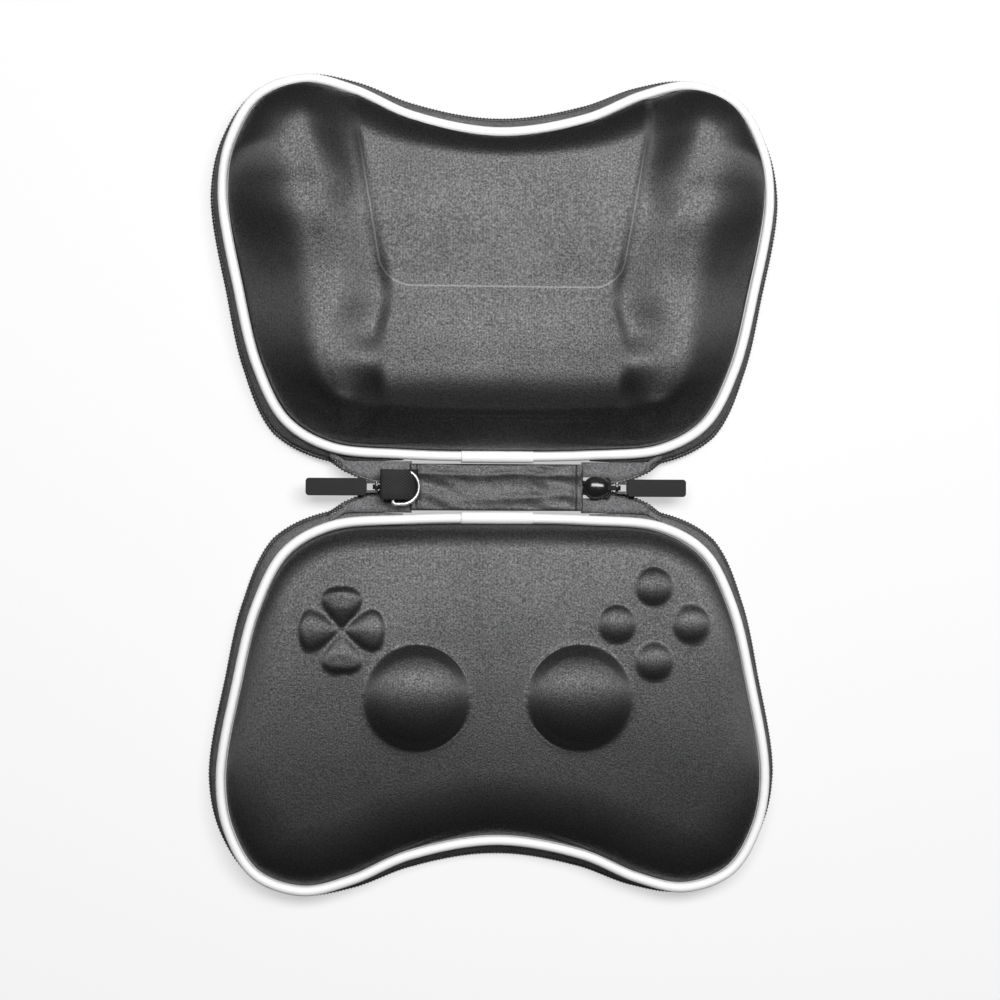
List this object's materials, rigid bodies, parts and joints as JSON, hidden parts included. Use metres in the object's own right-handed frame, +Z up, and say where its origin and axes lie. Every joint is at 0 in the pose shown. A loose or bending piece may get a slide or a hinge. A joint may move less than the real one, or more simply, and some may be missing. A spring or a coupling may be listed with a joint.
{
  "type": "controller carrying case",
  "caption": "Moulded zip case for a game controller, opened flat with its shaped outside up, with piping, zipper, two pulls and a D-ring.",
  "frame": {"origin": "middle of the opened case on the surface it lies on, under the hinge band's middle", "axes": "+X to the right along the fold lines, +Y across the back half to its far edge, +Z up from the surface"},
  "size_m": [0.1922, 0.2756, 0.0365],
  "materials": {
    "moulded_cloth": "matte",
    "piping": "satin",
    "zipper_tape": "matte",
    "zipper_coil": "satin",
    "binding": "matte",
    "band_cloth": "matte",
    "webbing": "matte",
    "slider_metal": "gloss",
    "ring_metal": "polished",
    "link_metal": "gloss",
    "grip_plastic": "matte"
  },
  "bodies": {
    "back_half": {"back_shell": "moulded_cloth", "back_piping": "piping", "back_piping_sleeve": "piping", "back_zipper_tape": "zipper_tape", "back_zipper_coil": "zipper_coil", "back_seam_binding": "binding"},
    "front_half": {"front_shell": "moulded_cloth", "front_piping": "piping", "front_piping_sleeve": "piping", "front_zipper_tape": "zipper_tape", "front_zipper_coil": "zipper_coil", "front_seam_binding": "binding"},
    "spine": {"hinge_band": "band_cloth", "left_chain_end": "zipper_coil", "right_chain_end": "zipper_coil", "left_tape_end": "zipper_tape", "right_tape_end": "zipper_tape", "left_slider_body": "slider_metal", "right_slider_body": "slider_metal", "left_slider_cap": "slider_metal", "right_slider_cap": "slider_metal", "d_ring_strap": "webbing"},
    "ring": {"d_ring": "ring_metal"},
    "left_pull": {"left_pull_link": "link_metal", "left_pull_grip": "grip_plastic"},
    "right_pull": {"right_pull_link": "link_metal", "right_pull_grip": "grip_plastic"}
  },
  "joints": [
    {"name": "spine_fold", "type": "hinge", "parent": "back_half", "child": "spine", "pos_m": [0, 0.00785, 0.00745], "axis": [1, 0, 0], "range_deg": [0, 90]},
    {"name": "lid_fold", "type": "hinge", "parent": "spine", "child": "front_half", "pos_m": [0, -0.00785, 0.00745], "axis": [1, 0, 0], "range_deg": [0, 90]},
    {"name": "ring_swing", "type": "hinge", "parent": "spine", "child": "ring", "pos_m": [-0.0346, 0, 0.0124], "axis": [0, -1, 0], "range_deg": [0, 110]},
    {"name": "left_pull_swing", "type": "hinge", "parent": "spine", "child": "left_pull", "pos_m": [-0.04, 0, 0.01035], "axis": [0, 1, 0], "range_deg": [0, 100]},
    {"name": "right_pull_swing", "type": "hinge", "parent": "spine", "child": "right_pull", "pos_m": [0.04, 0, 0.01035], "axis": [0, -1, 0], "range_deg": [0, 150]}
  ]
}
